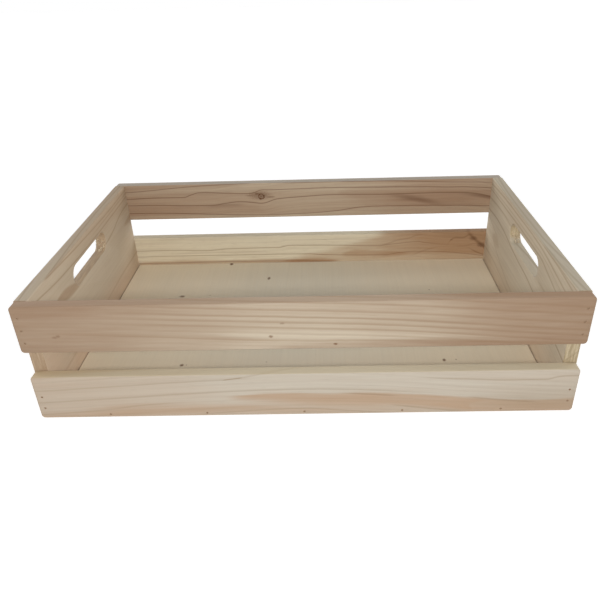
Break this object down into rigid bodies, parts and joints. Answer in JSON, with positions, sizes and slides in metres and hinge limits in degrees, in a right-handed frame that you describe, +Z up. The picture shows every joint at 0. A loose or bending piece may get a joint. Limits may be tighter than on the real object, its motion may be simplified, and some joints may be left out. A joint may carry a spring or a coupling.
{
  "type": "wooden apple crate",
  "caption": "Shallow open-topped wooden fruit crate with slatted long sides, solid end boards with obround hand holes and a let-in plywood floor, nailed together.",
  "frame": {"origin": "on the ground under the middle of the crate", "axes": "+X along the slats, +Y from the front slats to the back slats, +Z up"},
  "size_m": [0.6, 0.39, 0.146],
  "materials": {
    "end_pine": "planed bare pine, sanded edges",
    "slat_pine": "planed bare pine, sanded edges",
    "floor_plywood": "sanded bare plywood",
    "nail_steel": "dull bright wire, slightly oxidised"
  },
  "bodies": {
    "root": {"left_end_board": "end_pine", "right_end_board": "end_pine", "front_lower_slat": "slat_pine", "front_upper_slat": "slat_pine", "back_lower_slat": "slat_pine", "back_upper_slat": "slat_pine", "floor_panel": "floor_plywood", "front_lower_left_nails": "nail_steel", "front_lower_right_nails": "nail_steel", "front_upper_left_nails": "nail_steel", "front_upper_right_nails": "nail_steel", "back_lower_left_nails": "nail_steel", "back_lower_right_nails": "nail_steel", "back_upper_left_nails": "nail_steel", "back_upper_right_nails": "nail_steel", "front_floor_nails": "nail_steel", "back_floor_nails": "nail_steel", "left_floor_nails": "nail_steel", "right_floor_nails": "nail_steel"}
  },
  "joints": []
}
